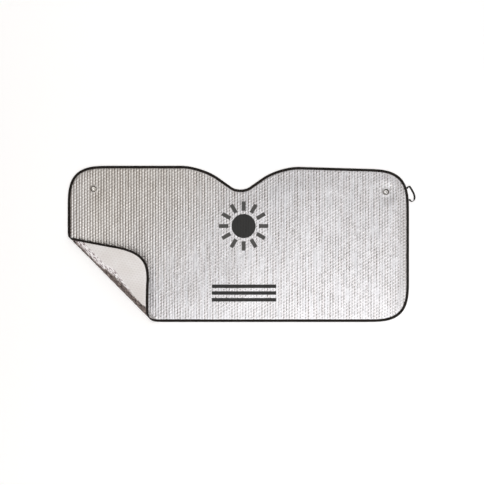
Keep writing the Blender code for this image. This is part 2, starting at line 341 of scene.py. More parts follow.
def make_elastic():
    bm = strip(ELASTIC_AROUND, ELASTIC_ALONG)
    shares = points_of(bm)[:, :2]
    step = np.rint(shares[:, 1] * ELASTIC_ALONG).astype(int)
    ahead = np.gradient(loop_line, axis=0)
    ahead /= np.linalg.norm(ahead, axis=1)[:, None]
    side = np.cross(ahead, (0, 0, 1))
    progress = np.linspace(0, 1, len(loop_line))
    lean = np.interp(progress, *zip(*ELASTIC_LEAN))
    wide = np.cos(lean)[:, None] * side + np.sin(lean)[:, None] * np.array((0, 0, 1))
    thick = np.cross(wide, ahead)
    turn = 2 * math.pi * shares[:, 0]
    flat_side = np.sign(np.cos(turn)) * np.abs(np.cos(turn)) ** 0.5
    round_side = np.sign(np.sin(turn)) * np.abs(np.sin(turn)) ** 0.8
    rise = np.abs(np.sin(lean)) * ELASTIC_WIDTH / 2
    lift = np.maximum(rise - LOOP_HEIGHT + ELASTIC_CLEARANCE, 0)
    centre = loop_line + np.outer(lift, (0, 0, 1))
    places = centre[step]
    places = places + (flat_side * ELASTIC_WIDTH / 2)[:, None] * wide[step]
    places = places + (round_side * ELASTIC_THICK / 2)[:, None] * thick[step]
    write_uv(bm, shares)
    move_points(bm, places)
    bmesh.ops.remove_doubles(bm, verts=bm.verts, dist=1e-6)
    bmesh.ops.holes_fill(bm, edges=[edge for edge in bm.edges if edge.is_boundary])
    bmesh.ops.recalc_face_normals(bm, faces=bm.faces)
    made = elastic_finish()
    obj = piece_from(bm, "elastic_loop_band", "shade", made, ["elastic_loop"])


make_elastic()

# %% [markdown]
# ## The outline of the shade
# The cut is a rectangle with generously rounded corners and a wide notch for the mirror, and every
# piece needs it. A corner is part of a superellipse: squarer than a circle, as these corners are.
# The outline is worked out once as points, and then read at even steps.

# %% Outline
CORNER = (0.166, 3.3)  # reach of the rounding along each side, and how square it is
NOTCH_SHOULDER = (0.076, 2.0)
NOTCH_ROOT = (0.043, 2.0)
SIDE, END = WIDTH / 2, HEIGHT / 2
OUTLINE_CORNERS = (
    ((-SIDE, -END), CORNER),
    ((SIDE, -END), CORNER),
    ((SIDE, END - 0.016), CORNER),
    ((0.156, END - 0.002), NOTCH_SHOULDER),
    ((0.008, END - 0.105), NOTCH_ROOT),
    ((-0.140, END), NOTCH_SHOULDER),
    ((-SIDE, END), CORNER),
)


def rounded(corner, before, after, reach, exponent, steps=24):
    """Points round a corner, tangent to both sides at reach from it."""
    back = (before - corner) / np.linalg.norm(before - corner)
    on = (after - corner) / np.linalg.norm(after - corner)
    turn = np.linspace(0, math.pi / 2, steps + 1)[:, None]
    along_back = 1 - np.sin(turn) ** (2 / exponent)
    along_on = 1 - np.maximum(np.cos(turn), 0) ** (2 / exponent)
    return corner + reach * (along_back * back + along_on * on)


def sheet_outline():
    corners = [np.array(place) for place, _ in OUTLINE_CORNERS]
    parts = []
    for i, (_, (reach, exponent)) in enumerate(OUTLINE_CORNERS):
        after = corners[(i + 1) % len(corners)]
        parts.append(rounded(corners[i], corners[i - 1], after, reach, exponent))
    return np.vstack(parts)


def evenly(line, count):
    """A closed line read at count even steps, with its inward way at each, and its length."""
    closed = np.vstack([line, line[:1]])
    reached = np.concatenate([[0], np.cumsum(np.linalg.norm(np.diff(closed, axis=0), axis=1))])
    wanted = np.linspace(0, reached[-1], count, endpoint=False)
    points = np.stack([np.interp(wanted, reached, closed[:, k]) for k in (0, 1)], axis=1)
    ahead = np.roll(points, -1, axis=0) - np.roll(points, 1, axis=0)
    ahead /= np.linalg.norm(ahead, axis=1)[:, None]
    inward = np.stack([-ahead[:, 1], ahead[:, 0]], axis=1)
    return points, inward, reached[-1]


outline = sheet_outline()
outline_next = np.roll(outline, -1, axis=0)

# %% [markdown]
# ## The fold
# The lower left corner rolls up and leans back over the sheet. Paper and film bend in only one
# direction at a time, so the rolled part is a piece of a cone: straight lines through the cone's
# tip stay straight, and each is turned a little further up than the last. Those turned lines are
# worked out once as a table, and then any point of the flat sheet can be looked up in it. A cloth
# simulation would also fold the sheet, but it would not stop at the place that the CAD model has.

# %% Fold
CREASE_LEFT = np.array((-SIDE, -END + 0.340))
CREASE_BOTTOM = np.array((-SIDE + 0.358, -END))
ROLL_RADII = (0.0080, 0.0214)  # of the cone, at the two ends of the crease
ROLL_TURN = math.radians(155.5)
LEAN_TURN = math.radians(16)  # how much further the corner bends past the roll
LEAN_REACH = 0.20  # and over what angle at the cone's tip
CORNER_GATHER = 0.158  # share of that angle that is lost, as the film is drawn together
CORNER_SLIP = 0.169  # by how much the corner slides out from the tip instead
TABLE_STEP = 0.0004  # angle between two lines of the table

crease = CREASE_BOTTOM - CREASE_LEFT
crease_length = np.linalg.norm(crease)
fold_along = crease / crease_length
fold_across = np.array((fold_along[1], -fold_along[0]))
fold_slope = (ROLL_RADII[1] - ROLL_RADII[0]) / crease_length
fold_tip = CREASE_LEFT - fold_along * ROLL_RADII[0] / fold_slope
roll_end = ROLL_TURN * fold_slope


def turned_lines():
    """For each angle past the start of the roll: the way its line points, and the upward way."""
    line = np.array((*fold_along, 0.0))
    across = np.array((*fold_across, 0.0))
    up = np.array((0.0, 0.0, 1.0))
    roll_bend = 1 / math.tan(math.asin(fold_slope))
    table = []
    for i in range(int(math.pi / 2 / TABLE_STEP) + 2):
        table.append((line, up))
        angle = (i + 0.5) * TABLE_STEP
        lean = max(0.0, 1 - (angle - roll_end) / LEAN_REACH)
        bend = roll_bend if angle < roll_end else 2 * LEAN_TURN / LEAN_REACH * lean
        line, across, up = (
            line + across * TABLE_STEP,
            across + (bend * up - line) * TABLE_STEP,
            up - bend * across * TABLE_STEP,
        )
        line = line / np.linalg.norm(line)
        across = across - line * (across @ line)
        across = across / np.linalg.norm(across)
        up = np.cross(line, across) * np.sign(np.cross(line, across) @ up)
    return np.array(table)


fold_table = turned_lines()


def fold_angles(flat):
    """How far past the start of the roll each flat point lies, and its distance from the tip."""
    out = flat[:, :2] - fold_tip
    return np.arctan2(out @ fold_across, out @ fold_along), np.linalg.norm(out, axis=1)


def folded(flat):
    """Where points given as along, up and above the flat sheet go in the folded one."""
    angle, reach = fold_angles(flat)
    beyond = (1 - CORNER_GATHER) * np.maximum(0, angle - roll_end)
    step = np.maximum(0, np.minimum(angle, roll_end) + beyond) / TABLE_STEP
    low = step.astype(int)
    share = (step - low)[:, None]
    line = fold_table[low, 0] * (1 - share) + fold_table[low + 1, 0] * share
    up = fold_table[low, 1] * (1 - share) + fold_table[low + 1, 1] * share
    line /= np.linalg.norm(line, axis=1)[:, None]
    up /= np.linalg.norm(up, axis=1)[:, None]
    turned = (reach * (1 + CORNER_SLIP * beyond))[:, None] * line + flat[:, 2:] * up
    turned[:, :2] += fold_tip
    return np.where((angle > 0)[:, None], turned, flat)


folded_edge = folded(np.column_stack([outline, np.zeros(len(outline))]))
print("highest point of the edge on the fold", round(folded_edge[:, 2].max(), 4))

# %% [markdown]
# ## The bubble film
# The shade is two films with a layer of air bubbles welded between them. The bubbles stand in
# columns 10.4 mm apart, 12 mm from one to the next, and each column is shifted by half a bubble
# against its neighbours. Bubbles this size could be a bump map, but then the edge of a bubble would
# not catch the light from low down and the mesh would be flat. So the film is a grid with four
# cells to a bubble each way, and the height of each point says where on a bubble it is. The grid's
# lines are drawn towards the shoulders of the columns, because the film bends most there.

# %% The pattern of the bubbles
COLUMN_PITCH = 0.0104
BUBBLE_PITCH = 0.0120
BUBBLE_RADIUS = 0.0051
CELLS = 4  # of the grid to one bubble, each way
SHOULDER_AT = 0.34  # of the pitch from the top of a column, where its side begins to drop
SHOULDER_SPREAD = 0.06  # by how much more it is where the film is slack
SLACK_PLACE = (-0.10, -0.12)
SADDLE = 0.26  # of a bubble's height, between it and the next one in its column
WAIST = 3.0  # how much more quickly the film falls away to the side there
TAPE_WIDTH = 0.0100
FILM_EDGE = 0.0050  # the films end this far in from the outline, inside the tape
CUP_PLACES = ((-0.550, 0.209), (0.561, 0.197))

# %% [markdown]
# Three helpers say where a point lies: how deep inside the outline, how far through a soft step
# between two values, and on what part of a smooth noise. The noise repeats after 64 steps, and the
# whole numbers that are added to its coordinates below only choose the part of it that is used.

# %% Helpers for the films
def edge_depths(flat):
    """How far inside the outline each flat point is, negative outside it, and the nearest point."""
    depth = np.full(len(flat), np.inf)
    nearest = np.zeros((len(flat), 2))
    inside = np.zeros(len(flat), bool)
    for a, b in zip(outline, outline_next):
        way = b - a
        share = np.clip(((flat - a) @ way) / (way @ way), 0, 1)
        foot = a + share[:, None] * way
        gap = np.linalg.norm(flat - foot, axis=1)
        closer = gap < depth
        depth[closer] = gap[closer]
        nearest[closer] = foot[closer]
        if a[1] != b[1]:
            spans = (flat[:, 1] < a[1]) != (flat[:, 1] < b[1])
            crossing = a[0] + (flat[:, 1] - a[1]) / (b[1] - a[1]) * way[0]
            inside ^= spans & (flat[:, 0] < crossing)
    return np.where(inside, depth, -depth), nearest


def smooth(low, high, values):
    """0 up to low, 1 from high, and smooth between them."""
    share = np.clip((values - low) / (high - low), 0, 1)
    return share * share * (3 - 2 * share)


def crumple(along, across, seed):
    """Smooth noise from 0 to 1, with one random value at each whole number both ways."""
    values = np.random.default_rng(seed).random((64, 64))
    i, j = np.floor(along).astype(int), np.floor(across).astype(int)
    s, t = smooth(0, 1, along - i), smooth(0, 1, across - j)
    near = values[i % 64, j % 64] * (1 - s) + values[(i + 1) % 64, j % 64] * s
    far = values[i % 64, (j + 1) % 64] * (1 - s) + values[(i + 1) % 64, (j + 1) % 64] * s
    return near * (1 - t) + far * t


# %% [markdown]
# A bubble is a round cap, cut off at the sides by the valleys between the columns. Along its column
# it runs into the next one over a low saddle, and there the column has a waist. Left of the middle
# the sheet has lost some air, so its bubbles are lower and their shoulders lie further out.

# %% The height of a bubble
def from_column(flat):
    """How far to the right of its column's middle each point lies, and where that middle is."""
    middle = np.rint(flat[:, 0] / COLUMN_PITCH) * COLUMN_PITCH
    return flat[:, 0] - middle, middle


def bubbles(flat):
    """1 at the top of a bubble and 0 between the columns."""
    beside, middle = from_column(flat)
    shift = 0.5 * (np.rint(middle / COLUMN_PITCH) % 2)
    along = flat[:, 1] / BUBBLE_PITCH - shift
    profile = (0.5 + 0.5 * np.cos(2 * math.pi * along)) ** 1.5
    across = np.clip(1 - (beside / BUBBLE_RADIUS) ** 2, 0, 1) ** 0.45
    return across ** (1 + WAIST * (1 - profile)) * (SADDLE + (1 - SADDLE) * profile)


def slackness(flat):
    """1 where the film has lost most of its air, and 0 far from there."""
    away = np.hypot(flat[:, 0] - SLACK_PLACE[0], 1.6 * (flat[:, 1] - SLACK_PLACE[1]))
    return 1 - smooth(0.05, 0.45, away)


# %% [markdown]
# Both films start as the same grid, cut to the outline. The tape hides the cut, so points beyond
# it are simply deleted, and what is then the border is pulled out to an even line under the tape.
# The valleys are true creases, where the two films are welded, so their edges are left sharp.

# %% Cutting a film out of the grid
def film_grid():
    columns = 2 * math.ceil(SIDE / COLUMN_PITCH) * CELLS
    rows = 2 * math.ceil(END / BUBBLE_PITCH) * CELLS
    size = (columns * COLUMN_PITCH / CELLS, rows * BUBBLE_PITCH / CELLS)
    bm = strip(columns, rows)
    bmesh.ops.translate(bm, verts=bm.verts, vec=(-0.5, -0.5, 0))
    bmesh.ops.scale(bm, verts=bm.verts, vec=(*size, 1))
    flat = points_of(bm)
    beside, column = from_column(flat)
    shoulder = SHOULDER_AT + SHOULDER_SPREAD * slackness(flat)
    place = abs(beside) / COLUMN_PITCH
    # the line between top and valley moves from a quarter of the pitch to the shoulder
    rising = place / 0.25 * shoulder
    falling = 0.5 - (0.5 - place) / 0.25 * (0.5 - shoulder)
    flat[:, 0] = column + np.sign(beside) * np.where(place < 0.25, rising, falling) * COLUMN_PITCH
    move_points(bm, flat)
    in_valley = dict(zip(bm.verts, place > 0.49))
    for edge in bm.edges:
        edge.smooth = not (in_valley[edge.verts[0]] and in_valley[edge.verts[1]])
    depth, _ = edge_depths(flat[:, :2])
    outside = [vert for vert, deep in zip(bm.verts, depth) if deep < FILM_EDGE]
    bmesh.ops.delete(bm, geom=outside, context="VERTS")
    border = [vert for vert in bm.verts if vert.is_boundary]
    flat = np.array([vert.co.xy for vert in border])
    depth, nearest = edge_depths(flat)
    for vert, place in zip(border, nearest + (flat - nearest) * (FILM_EDGE / depth)[:, None]):
        vert.co = (*place, 0)
    return bm


# %% [markdown]
# A real sheet never lies dead flat. Its middle rises and falls by a millimetre or two, it swells a
# little beside the tape at its ends, and it is crushed where the corner rolls over. Both films
# share these, so that the air between them stays.

# %% Lie of the sheet
TAPE_REACH = 0.0045  # past the tape, over which it draws the films down
WAVE_HEIGHT = 0.0020
PILLOWS = (0.0006, 0.0032)  # how much the sheet swells at its left and right ends
PAD_RADIUS = 0.0150  # of the flat place round each cup
DENT_HEIGHT = 0.0016


def under_tape(depth):
    return 1 - smooth(TAPE_WIDTH, TAPE_WIDTH + TAPE_REACH, depth)


def lie(flat, depth):
    """How high the sheet is lifted where it does not lie quite flat on the floor."""
    waves = crumple(flat[:, 0] / 0.11 + 20, flat[:, 1] / 0.15 + 20, 3)
    waves = WAVE_HEIGHT * waves * smooth(0.012, 0.09, depth)
    pillow = np.where(flat[:, 0] < 0, *PILLOWS)
    waves += pillow * smooth(0.008, 0.045, depth) * smooth(0.50, 0.60, abs(flat[:, 0]))
    for place in CUP_PLACES:
        waves *= smooth(PAD_RADIUS, 0.06, np.linalg.norm(flat - place, axis=1))
    angle, _ = fold_angles(flat)
    return waves * smooth(0.02, 0.09, -angle)


def crease_crumples(flat):
    """Dents across the roll of the corner, as a height."""
    angle, reach = fold_angles(flat)
    along = reach / 0.011
    round_roll = angle * reach / 0.009
    dents = crumple(along + 0.4 * round_roll, round_roll, 5) - 0.5
    dents += 0.6 * (crumple(along * 2.3, round_roll * 1.9, 6) - 0.5)
    share = smooth(-0.02, 0.02, angle) * (1 - smooth(roll_end, roll_end + 0.05, angle))
    return DENT_HEIGHT * dents * share


# %% [markdown]
# The upper film has bubbles in the middle, is pressed flat round the two cups, and is drawn down
# between the legs of the tape at its edge. No two bubbles are equally full, each column leans a
# little, and the film has a slack, crinkled skin.

# %% Height of the upper film
VALLEY_HEIGHT = 0.0023
CROWN_HEIGHT = 0.0040
HEM_HEIGHT = 0.0019  # under the tape
PAD_HEIGHT = 0.0032  # round the cups
FULL = 0.86  # how full a bubble is at the upper left, as a share
PRESSED = 0.40  # how much less at the lower right
SLACK = 0.38  # and where the film is slack
UNEVEN = (0.16, 0.60)  # from one region to the next, and from one bubble to the next
FULLEST = 1.06  # where a bubble's top is cut off, so that none stands out
COLUMN_TILT = 0.0005
SKIN_HEIGHT = 0.00045  # of the crinkles in the film


def fullness(flat):
    """How full the bubbles stand."""
    pressed = PRESSED * smooth(-0.55, 0.05, flat[:, 0] - flat[:, 1]) + SLACK * slackness(flat)
    region = UNEVEN[0] * (crumple(flat[:, 0] / 0.09 + 20, flat[:, 1] / 0.07 + 20, 4) - 0.5)
    single = crumple(flat[:, 0] / COLUMN_PITCH + 70, flat[:, 1] / BUBBLE_PITCH + 60, 1) - 0.5
    return FULL - pressed + region + UNEVEN[1] * single


def tilts(flat):
    """The lean of each column, as a height that is nothing at its top and its feet."""
    beside, middle = from_column(flat)
    lean = crumple(middle / COLUMN_PITCH + 70, flat[:, 1] / 0.12 + 20, 9) - 0.5
    return COLUMN_TILT * lean * np.sin(2 * math.pi * beside / COLUMN_PITCH)


def upper_heights(flat, depth):
    full = np.clip(bubbles(flat) * fullness(flat), 0, FULLEST)
    height = VALLEY_HEIGHT + (CROWN_HEIGHT - VALLEY_HEIGHT) * full + tilts(flat)
    skin = crumple(flat[:, 0] / 0.004 + 300, flat[:, 1] / 0.004 + 300, 2) - 0.5
    height += SKIN_HEIGHT * skin
    for place in CUP_PLACES:
        gap = np.linalg.norm(flat - place, axis=1)
        near = 1 - smooth(PAD_RADIUS - 0.001, PAD_RADIUS + 0.002, gap)
        height = height * (1 - near) + PAD_HEIGHT * near
    in_tape = under_tape(depth)
    height = height * (1 - in_tape) + HEM_HEIGHT * in_tape
    return height + lie(flat, depth) + 0.5 * crease_crumples(flat) * (1 - in_tape)


# %% [markdown]
# ## The print
# A print in dark ink lies on the middle of the sheet, here a plain sun and three bars. An image
# texture could carry it, but shapes this plain are sharper as arithmetic. It is written in the flat
# coordinates of the sheet, so it would follow any fold.

# %% Print
SUN_PLACE = (0.020, 0.068)
SUN_DISC = 0.046
SUN_RAYS = 12
RAY_FROM, RAY_TO, RAY_HALF_WIDTH = 0.058, 0.094, 0.0075
BARS_PLACE = (0.0215, -0.187)
BAR_LONG, BAR_HIGH, BAR_STEP = 0.245, 0.0135, 0.0257


def sun_masks(finish, along, up):
    """Where the disc and the rays of the sun are, as 0 or 1."""
    x, y = along - SUN_PLACE[0], up - SUN_PLACE[1]
    radius = (x * x + y * y) ** 0.5
    turn = x.maths("ARCTAN2", y, x)
    share = (turn * (SUN_RAYS / (2 * math.pi)) + SUN_RAYS + 0.5).fraction() - 0.5
    beside = abs((share * (2 * math.pi / SUN_RAYS)).sine() * radius)
    rays = beside.below(RAY_HALF_WIDTH) * radius.above(RAY_FROM) * radius.below(RAY_TO)
    return radius.below(SUN_DISC), rays


def bar_mask(along, up):
    x, y = abs(along - BARS_PLACE[0]), up - BARS_PLACE[1]
    offset = abs(abs(y) - BAR_STEP)
    high = offset.below(BAR_HIGH / 2) + abs(y).below(BAR_HIGH / 2)
    return x.below(BAR_LONG / 2) * high


# %% [markdown]
# ## The silver finish
# Aluminium is evaporated on to the film, so it is a true metal: colour from the metal, a fairly
# sharp reflection, and no paint under it. What makes it read as foil is what it reflects, together
# with fine crinkles in the film. Some shading is finer than the grid, so it is painted into the
# colour: painted shade at the left foot of each bubble, deeper in some streaks than in others, and
# the folded corner's painted shadow on the strip beside it. The film is also a little warmer at the
# upper left, and painted paler at its ends, standing in for brighter reflection there.

# %% Where a place lies on its bubble
def from_bubble(along, up):
    """How far right of and above its bubble's middle a place is, as shares of the two pitches."""
    across = along / COLUMN_PITCH
    column = across.maths("ROUND", across)
    row = up / BUBBLE_PITCH - (column * 0.5).fraction()
    return across - column, row - row.maths("ROUND", row)


def bubble_foot_shade(along, up):
    """1 at the left foot of each bubble, where painted shade darkens the film, and 0 away from it."""
    right, above = from_bubble(along, up)
    return abs(right + 0.40).ramp(0.22, 0.08) * abs(above).ramp(0.33, 0.12)


# %% Silver finish
SILVER_WARM = ((0.765, 0.718, 0.668), (0.858, 0.822, 0.782))  # dark and pale streaks, upper left
SILVER_COOL = ((0.730, 0.706, 0.710), (0.815, 0.807, 0.828))  # and lower right
# painted paler tone, standing in for brighter reflection at the film's ends
SILVER_PAINTED_PALE = (0.93, 0.90, 0.88)
# painted shade at the feet of the bubbles, and of the folded corner's painted shadow
PAINTED_SHADE_TINT = (0.14, 0.125, 0.12)
INK_TINTS = ((0.012, 0.0115, 0.011), (0.060, 0.058, 0.056))  # of the disc and bars, and the rays
LEFT_END = (0.53, 0.60)  # distances left of the middle, between which the film is painted paler
BOTH_ENDS = (0.612, 0.630)  # distances from the middle, over which the tape draws it down, and a paler tone and shade are painted
FLAP_SHADOW_PLACE = (-0.327, -0.195)  # the middle of the folded corner's painted shadow, on the strip beside it


def silver_finish():
    finish = new_finish("silver_foil")
    flat = finish.flat_place()
    along, up, _ = finish.split(flat)
    disc, rays = sun_masks(finish, along, up)
    ink = disc + rays + bar_mask(along, up)
    fine = finish.noise(finish.scaled(flat, (1.0, 0.45, 1.0)), 420, 3.0, 0.6)
    patch = finish.noise(finish.scaled(flat, (1.0, 0.12, 1.0)), 70, 2.0)
    streak = patch.ramp(0.30, 0.70)
    region = (along - up).ramp(-0.70, 0.0)
    warm = finish.blend_colours(streak, *SILVER_WARM)
    cool = finish.blend_colours(streak, *SILVER_COOL)
    tint = finish.blend_colours(region, warm, cool)
    # painted paler at the left end and by the tape, standing in for brighter reflection there
    painted_pale_left_end = (along * -1).ramp(*LEFT_END)
    painted_by_tape = abs(along).ramp(*BOTH_ENDS)
    tint = finish.blend_colours(painted_pale_left_end * 0.7 + painted_by_tape * 0.3, tint, SILVER_PAINTED_PALE)
    # painted shade at the left foot of each bubble, deeper in dark streaks, towards the lower right
    # and by the tape
    feet = bubble_foot_shade(along, up)
    painted_shade = feet * (region * 0.20 + painted_by_tape * 0.60 - painted_pale_left_end * 0.15 + 0.40)
    painted_shade = painted_shade * ((1 - streak) * 1.3 + 0.35)
    # painted shadow of the folded corner on the film beside it, mottled by the fine noise
    painted_flap_shadow = abs(along - FLAP_SHADOW_PLACE[0]).ramp(0.013, 0.003)
    painted_flap_shadow = painted_flap_shadow * abs(up - FLAP_SHADOW_PLACE[1]).ramp(0.062, 0.030)
    painted_shade = painted_shade + painted_flap_shadow * (feet * 0.30 + fine.ramp(0.40, 0.62) * 0.30)
    tint = finish.blend_colours(painted_shade, tint, PAINTED_SHADE_TINT)
    rough = patch * 0.10 + fine * 0.10 + 0.17
    return finish.surface(
        {
            "Base Color": finish.blend_colours(ink, tint, finish.blend_colours(rays, *INK_TINTS)),
            "Metallic": 1 - ink,
            "Roughness": rough * (1 - ink) + ink * 0.5,
            "Normal": finish.bump(fine, 0.0005),
        }
    )


# %% [markdown]
# Now the upper film itself. Its points get their heights, and then the whole film goes through the
# fold.

# %% Upper film
def make_film(name, heights, made, under):
    bm = film_grid()
    flat = points_of(bm)[:, :2]
    depth, _ = edge_depths(flat)
    write_uv(bm, flat)
    if under:
        bmesh.ops.reverse_faces(bm, faces=bm.faces)
    move_points(bm, folded(np.column_stack([flat, heights(flat, depth)])))
    obj = piece_from(bm, name, "shade", made, ["bubble_foil_sheet"])
    return obj


make_film("bubble_film", upper_heights, silver_finish(), under=False)

# %% [markdown]
# ## The back film
# The back is plain film with a satin shine, nearly white, with the bubbles showing through as faint
# rows of dots. It is seen on the folded corner. Its bubbles are only hinted at, because the back is
# the flat one of the two films.

# %% Height of the back film
BACK_BUBBLES = 0.00055
BACK_SKIN = 0.00025
BACK_HEM = 0.0012  # its height under the tape


def back_heights(flat, depth):
    dots = BACK_BUBBLES * bubbles(flat)
    slack = BACK_SKIN * crumple(flat[:, 0] / 0.006 + 200, flat[:, 1] / 0.006 + 200, 8)
    in_tape = under_tape(depth)
    height = (dots + slack) * (1 - in_tape) + BACK_HEM * in_tape
    return height + lie(flat, depth) + crease_crumples(flat) * (1 - in_tape)


# %% [markdown]
# Where the corner rolls over, the film is crushed into small facets, with painted highlights on them
# and painted shade in their folds, and along the outermost line a dark brownish reflection is
# painted.
# How crushed the film is comes from where it lies on the roll. That is easy to work out for points
# and hard to write as nodes, so it is kept as an attribute of the mesh, which the material reads.

# %% Crushed film on the roll
CRUSH_ALONG = (0.00, 0.05, 0.36, 0.42, 0.50, 0.90, 1.00)  # from the left end of the crease
CRUSH_WIDE = (0.010, 0.014, 0.016, 0.028, 0.034, 0.034, 0.028)  # of the painted dark reflection there
BUCKLE_ALONG = (0, 0.05, 0.45, 0.60, 1.0)
BUCKLE_WIDE = (0.004, 0.024, 0.020, 0.008, 0.004)  # of the painted bright band beside it


def past_crest(flat):
    """How far along the crease a point is, from 0 to 1, and how far past the outermost line."""
    angle, reach = fold_angles(flat)
    share = (reach - ROLL_RADII[0] / fold_slope) / crease_length
    return share, (angle - math.pi / 2 * fold_slope) * reach


def crushed_painted_dark(flat):
    """1 on the painted dark reflection along the roll, and ragged towards the flat of the corner."""
    share, past = past_crest(flat)
    ragged = 0.007 * (crumple(share * 38, past / 0.004 + 9, 11) - 0.5)
    ragged += 0.004 * (crumple(share * 110, past / 0.003 + 9, 12) - 0.5)
    limit = np.interp(share, CRUSH_ALONG, CRUSH_WIDE) + ragged
    return smooth(-0.006, -0.002, past) * (1 - smooth(limit - 0.0012, limit + 0.0012, past))


def buckled_painted_bright(flat):
    """1 where the film beside the dark line is crinkled and painted bright, in the crease's upper
    half.
    """
    share, past = past_crest(flat)
    start = np.interp(share, CRUSH_ALONG, CRUSH_WIDE)
    stop = start + np.interp(share, BUCKLE_ALONG, BUCKLE_WIDE)
    beside = smooth(start - 0.004, start, past) * (1 - smooth(stop, stop + 0.006, past))
    return beside * (1 - smooth(0.55, 0.75, share))


# %% [markdown]
# The crinkles beside the roll run along it, so their noise reads the flat place turned to the
# crease and squeezed along it, which draws the noise out that way.

# %% Back finish
PALE_TINTS = ((0.79, 0.757, 0.738), (0.845, 0.822, 0.813))
DOT_TINT = (0.60, 0.55, 0.53)
PAINTED_FACET_HIGHLIGHT_AND_SHADE = ((1.0, 0.975, 0.98), (0.27, 0.20, 0.21))  # painted highlight of the facets, and painted shade in the folds between them
# painted dark brownish reflection along the outer line of the roll
PAINTED_ROLL_DARK_TINTS = ((0.030, 0.020, 0.017), (0.38, 0.31, 0.285))


def drawn_out(finish, along, up):
    """The flat place, turned to run along the crease and across it, and drawn out along it."""
    ahead = along * float(fold_along[0]) + up * float(fold_along[1])
    beside = along * float(fold_across[0]) + up * float(fold_across[1])
    return finish.add("CombineXYZ", None, {"X": ahead * 0.30, "Y": beside, "Z": 0.0})


def back_finish():
    finish = new_finish("pale_back_film")
    flat = finish.flat_place()
    along, up, _ = finish.split(flat)
    folds = drawn_out(finish, along, up)
    right, above = from_bubble(along, up)
    dot = (right * right + above * above) ** 0.5
    crush_painted_dark = finish.add("Attribute", {"attribute_name": "crushed_painted_dark"}, out=2)
    buckle_painted_bright = finish.add("Attribute", {"attribute_name": "buckled_painted_bright"}, out=2)
    cloudy = finish.noise(flat, 14, 3.0)
    fine = finish.noise(flat, 520, 2.0, 0.6)
    specks = finish.noise(folds, 260, 3.0, 0.7)
    creases = finish.noise(folds, 190, 3.0, 0.65)
    pale = finish.blend_colours(cloudy.ramp(0.3, 0.7), *PALE_TINTS)
    pale = finish.blend_colours(dot.ramp(0.36, 0.14) * 0.30, pale, DOT_TINT)
    # painted highlights on the crinkled facets, and painted shade in their folds
    pale = finish.blend_colours(buckle_painted_bright, pale, PAINTED_FACET_HIGHLIGHT_AND_SHADE[0])
    pale = finish.blend_colours(buckle_painted_bright * creases.ramp(0.49, 0.58), pale, PAINTED_FACET_HIGHLIGHT_AND_SHADE[1])
    # painted dark reflection along the roll, mottled
    painted_roll_dark = finish.blend_colours(specks.ramp(0.42, 0.64), *PAINTED_ROLL_DARK_TINTS)
    return finish.surface(
        {
            "Base Color": finish.blend_colours(crush_painted_dark, pale, painted_roll_dark),
            "Roughness": cloudy * 0.12 + 0.34 - buckle_painted_bright * 0.18 + crush_painted_dark * 0.4,
            "Normal": finish.bump(fine + (buckle_painted_bright + crush_painted_dark) * creases * 4, 0.0004),
        }
    )


# %% Back film
def flat_places(mesh):
    """Where each point of a film lies in the flat sheet, read back from its UV map."""
    uv = np.zeros(2 * len(mesh.loops))
    mesh.uv_layers["flat"].data.foreach_get("uv", uv)
    owners = np.zeros(len(mesh.loops), int)
    mesh.loops.foreach_get("vertex_index", owners)
    flat = np.zeros((len(mesh.vertices), 2))
    flat[owners] = uv.reshape(-1, 2)
    return flat


back_film = make_film("back_film", back_heights, back_finish(), under=True)
for name, share in (("crushed_painted_dark", crushed_painted_dark), ("buckled_painted_bright", buckled_painted_bright)):
    attribute = back_film.data.attributes.new(name, "FLOAT", "POINT")
    attribute.data.foreach_set("value", share(flat_places(back_film.data)))

# %% [markdown]
# ## The edge tape
# A woven black tape is folded over the edge and sewn through, so in section it is a narrow U whose
# two legs grip the films. A strip is wrapped round that section and led round the outline. Sewn
# tape is never quite even: its inner edge wanders, and it puckers a little at each few stitches.

# %% Edge tape
TAPE_STEPS = 1480
TAPE_TOP = 0.0032
TAPE_WANDER = 0.0007  # of its inner edge, from side to side
TAPE_PUCKER = 0.00020
TAPE_THREADS = (0.0009, 0.0011)  # from one to the next, across and along
TAPE_TINTS = ((0.0065, 0.0042, 0.0028), (0.015, 0.0105, 0.0075))
TAPE_SECTION = (  # in from the edge and up from the back
    (0.0100, 0.0001), (0.0060, 0.0000), (0.0022, 0.0000), (0.0008, 0.0004), (0.0001, 0.0011),
    (0.0001, 0.0021), (0.0008, 0.0028), (0.0022, 0.0032), (0.0060, 0.0032), (0.0099, 0.0031),
    (0.0102, 0.0027), (0.0099, 0.0023), (0.0060, 0.0024), (0.0020, 0.0022), (0.0012, 0.0016),
    (0.0020, 0.0009), (0.0060, 0.0008), (0.0099, 0.0009), (0.0102, 0.0005),
)
edge_line, edge_inward, edge_length = evenly(outline, TAPE_STEPS)


def tape_finish():
    finish = new_finish("black_tape")
    around, along, _ = finish.split(finish.flat_place())
    warp = (around * (2 * math.pi / TAPE_THREADS[0])).sine()
    weft = (along * (2 * math.pi / TAPE_THREADS[1])).sine()
    worn = finish.noise(finish.place(), 60, 3.0)
    return finish.surface(
        {
            "Base Color": finish.blend_colours(worn.ramp(0.35, 0.75), *TAPE_TINTS),
            "Roughness": worn * 0.15 + 0.62,
            "Normal": finish.bump(warp * weft, 0.00015),
            "Specular IOR Level": 0.25,
            "Sheen Weight": 0.05,
        }
    )


